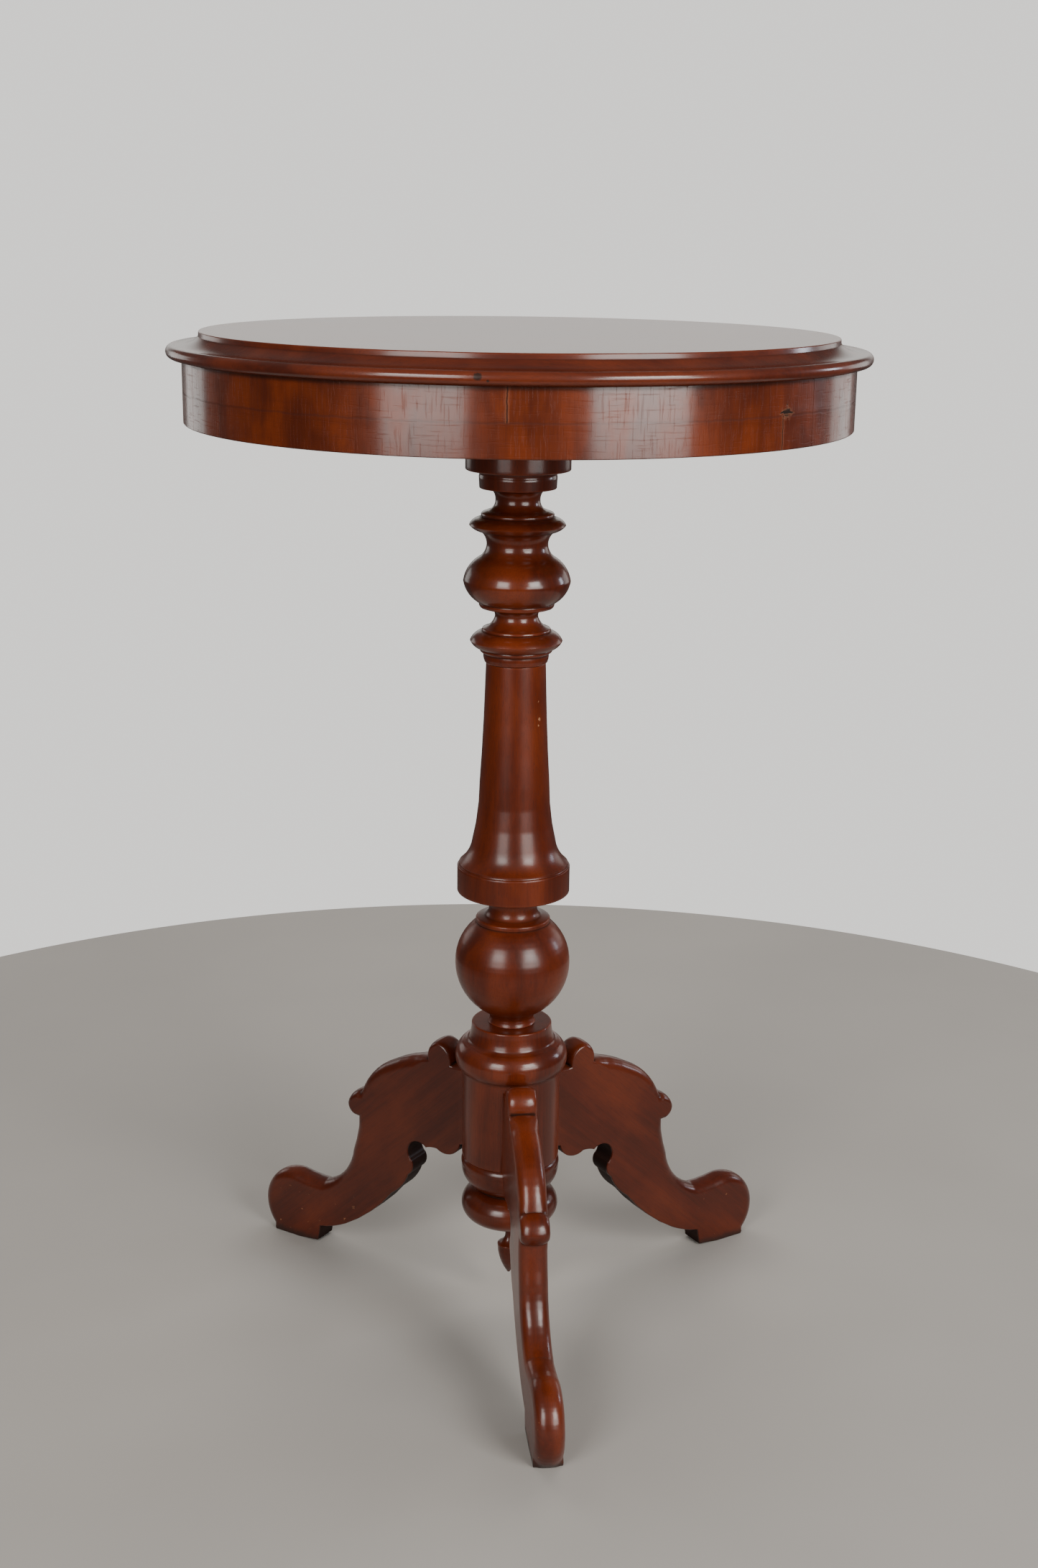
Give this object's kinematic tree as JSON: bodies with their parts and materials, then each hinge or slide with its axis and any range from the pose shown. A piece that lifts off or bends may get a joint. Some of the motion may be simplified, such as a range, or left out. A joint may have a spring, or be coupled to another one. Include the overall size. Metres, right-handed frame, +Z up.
{
  "type": "round pedestal table",
  "caption": "Round pedestal table with a moulded top and a deep veneered frieze, on a turned pillar with fretted splayed legs and a turned drop below.",
  "frame": {"origin": "on the floor, under the pillar's axis", "axes": "+Z up; -Y is the front, towards which the front leg points; +X is to the right as seen from the front"},
  "size_m": [0.4756, 0.4756, 0.735],
  "materials": {
    "top_mahogany": "french polished, glossy",
    "frieze_veneer": "french polished, fine crackle",
    "turned_mahogany": "french polished, glossy",
    "leg_mahogany": "french polished, glossy",
    "wedge_wood": "raw",
    "deal": "sawn and planed, unfinished",
    "screw_steel": "dull"
  },
  "bodies": {
    "root": {"base_cap": "turned_mahogany", "base_drop": "turned_mahogany", "bearer": "deal", "bearer_screw_1": "screw_steel", "bearer_screw_2": "screw_steel", "bearer_screw_3": "screw_steel", "bearer_screw_4": "screw_steel", "bearer_screw_5": "screw_steel", "bearer_screw_6": "screw_steel", "frieze_brick_lower_1": "deal", "frieze_brick_lower_2": "deal", "frieze_brick_lower_3": "deal", "frieze_brick_lower_4": "deal", "frieze_brick_upper_1": "deal", "frieze_brick_upper_2": "deal", "frieze_brick_upper_3": "deal", "frieze_brick_upper_4": "deal", "frieze_veneer_1": "frieze_veneer", "frieze_veneer_2": "frieze_veneer", "frieze_veneer_3": "frieze_veneer", "glue_block_1": "deal", "glue_block_2": "deal", "glue_block_3": "deal", "glue_block_4": "deal", "glue_block_5": "deal", "glue_block_6": "deal", "glue_block_7": "deal", "glue_block_8": "deal", "leg_front": "leg_mahogany", "leg_left": "leg_mahogany", "leg_right": "leg_mahogany", "pillar_ball": "turned_mahogany", "pillar_base": "turned_mahogany", "pillar_head": "turned_mahogany", "pillar_shaft": "turned_mahogany", "tenon_wedge": "wedge_wood", "top_board": "top_mahogany"}
  },
  "joints": []
}
